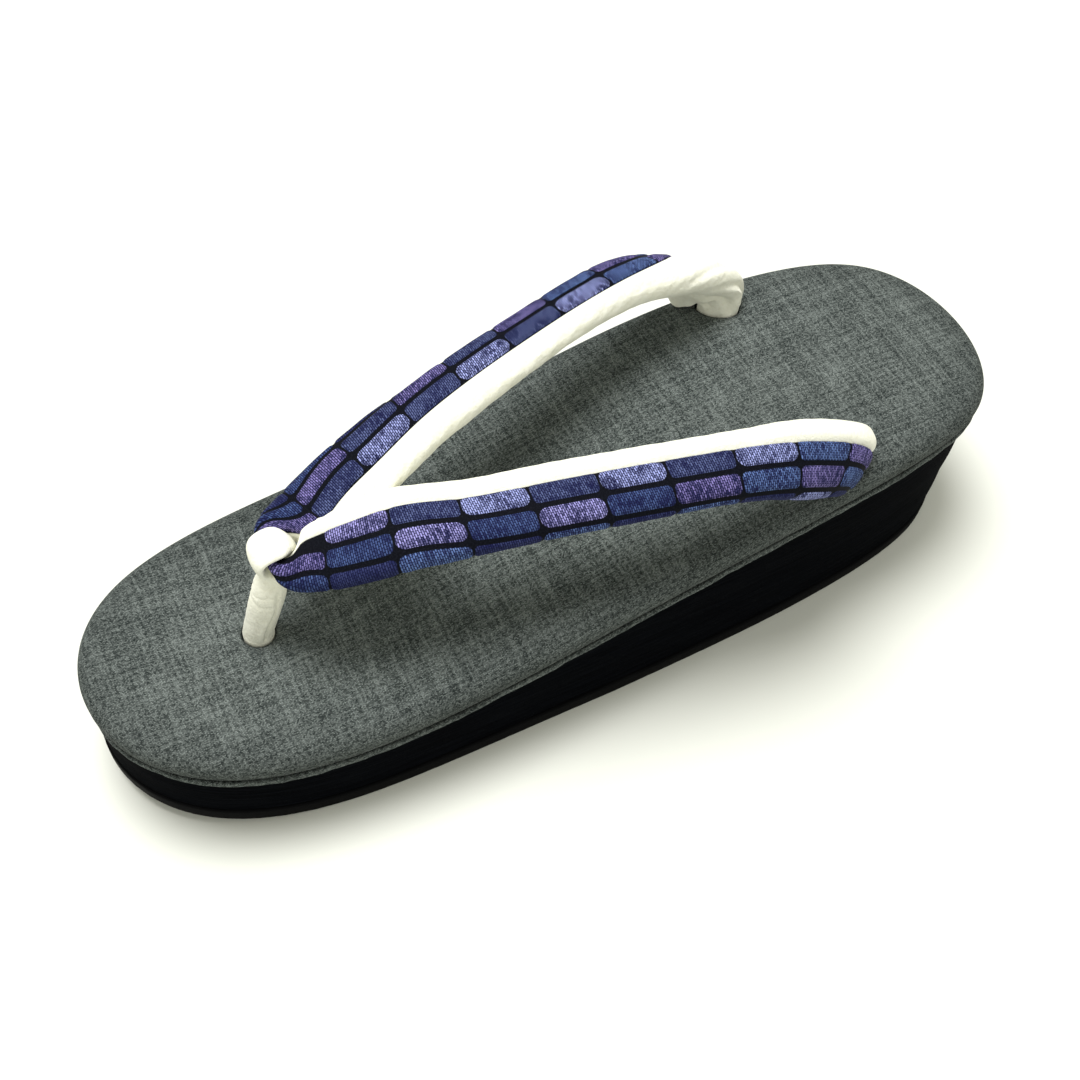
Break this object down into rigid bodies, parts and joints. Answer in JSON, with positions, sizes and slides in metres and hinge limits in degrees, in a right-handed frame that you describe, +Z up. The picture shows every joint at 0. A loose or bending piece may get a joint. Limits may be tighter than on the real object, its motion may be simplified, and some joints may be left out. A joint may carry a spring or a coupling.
{
  "type": "zori sandal",
  "caption": "Zori sandal with a wedge sole, a cloth-wrapped footbed and a padded V-shaped strap held by a toe post.",
  "frame": {"origin": "centre of the bounding box's bottom face, on the floor", "axes": "+X from toe to heel, +Y across the sole, +Z up; the sandal stands on its sole and is symmetric in Y"},
  "size_m": [0.245, 0.081, 0.0796],
  "materials": {
    "black_rubber": "matt",
    "black_wedge_cloth": "fine lengthwise ribs",
    "grey_heathered_cloth": "fine heathered weave",
    "white_felt": "short soft nap",
    "woven_block_cloth": "woven blocks in blues and violets on black"
  },
  "bodies": {
    "root": {"outsole": "black_rubber", "midsole": "black_wedge_cloth", "footbed": "grey_heathered_cloth", "strap_lining": "white_felt", "strap_cover": "woven_block_cloth", "toe_post": "white_felt"}
  },
  "joints": []
}
